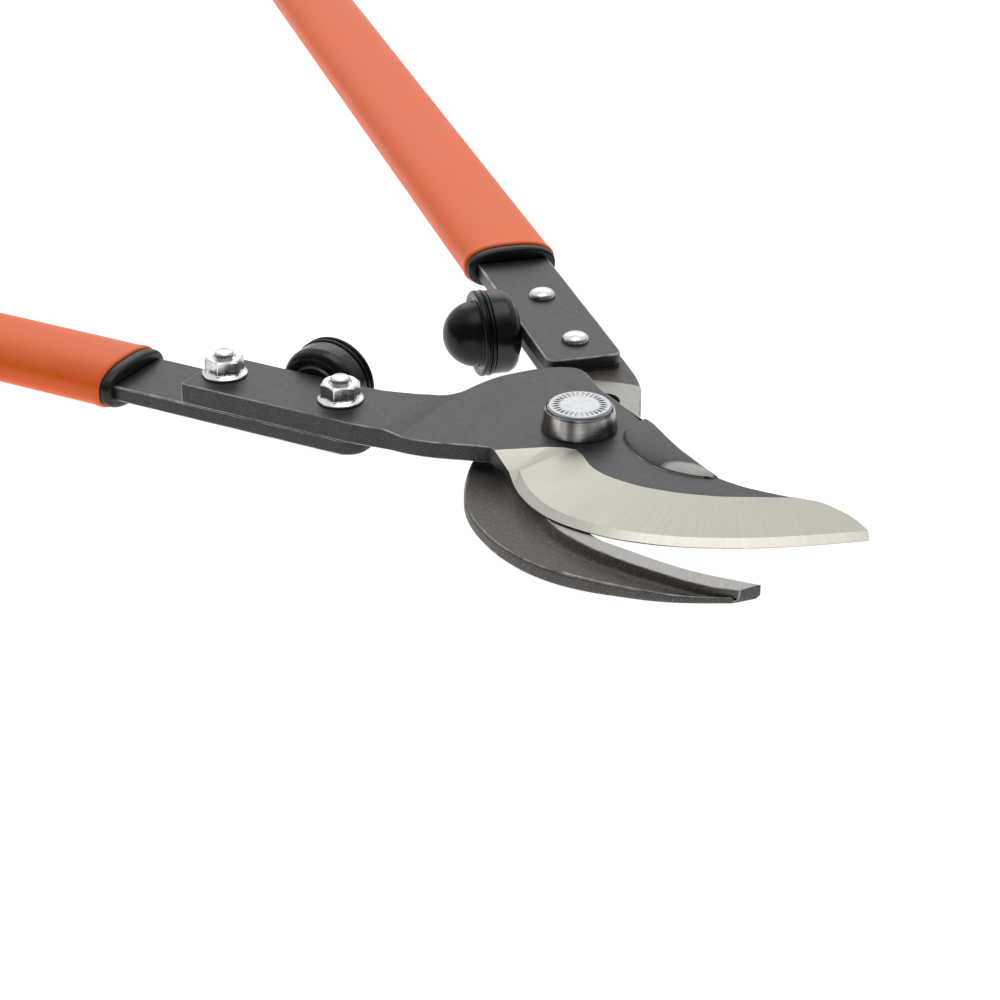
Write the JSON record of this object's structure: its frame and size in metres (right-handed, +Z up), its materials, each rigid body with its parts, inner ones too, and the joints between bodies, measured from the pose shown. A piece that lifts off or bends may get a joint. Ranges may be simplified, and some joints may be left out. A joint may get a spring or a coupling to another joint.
{
  "type": "bypass loppers",
  "caption": "Long-handled bypass loppers: forged cutting blade over a hooked counter blade, flat steel handle bars, rubber bumpers and oval vinyl grips, with a working pivot.",
  "frame": {"origin": "on the pivot axis, at the flat underside of the pivot bolt's head", "axes": "+X towards the blade tips, +Z up along the pivot axis, +Y to the side of the hook's handle"},
  "size_m": [0.6976, 0.567, 0.0385],
  "materials": {
    "black_paint": "semi-gloss black paint over forged steel, ground bright at the bevel",
    "forged_steel": "dark brown-grey phosphated forging, ground bright on the shear ledge",
    "zinc_plate": "bright zinc plate",
    "turned_steel": "fine turned steel",
    "bronze": "plain sintered bronze",
    "dark_steel": "dark oiled steel",
    "orange_vinyl": "smooth satin dipped vinyl",
    "black_plastic": "satin black moulding",
    "bumper_plastic": "glossy black moulding",
    "bumper_rubber": "fine-textured black rubber"
  },
  "bodies": {
    "hook_half": {"counter_blade": "forged_steel", "pivot_bolt": "zinc_plate", "pivot_collar": "turned_steel", "pivot_cap": "zinc_plate", "pivot_spring_washer": "dark_steel", "pivot_washer": "zinc_plate", "right_handle_bar": "black_paint", "right_handle_tube": "dark_steel", "right_ferrule": "black_plastic", "right_grip_sleeve": "orange_vinyl", "right_end_cap": "black_plastic", "right_bumper_cup": "bumper_plastic", "right_bumper_dome": "bumper_rubber", "right_bumper_screw": "zinc_plate", "right_blade_bolt_1": "zinc_plate", "right_flange_nut_1": "zinc_plate", "right_blade_bolt_2": "zinc_plate", "right_flange_nut_2": "zinc_plate"},
    "blade_half": {"cutting_blade": "black_paint", "pivot_bush": "bronze", "left_handle_bar": "black_paint", "left_handle_tube": "dark_steel", "left_ferrule": "black_plastic", "left_grip_sleeve": "orange_vinyl", "left_end_cap": "black_plastic", "left_bumper_cup": "bumper_plastic", "left_bumper_dome": "bumper_rubber", "left_bumper_screw": "zinc_plate", "left_blade_bolt_1": "zinc_plate", "left_flange_nut_1": "zinc_plate", "left_blade_bolt_2": "zinc_plate", "left_flange_nut_2": "zinc_plate"}
  },
  "joints": [
    {"name": "blade_pivot", "type": "hinge", "parent": "hook_half", "child": "blade_half", "pos_m": [0, 0, 0.024], "axis": [0, 0, 1], "range_deg": [-21.8, 45]}
  ]
}
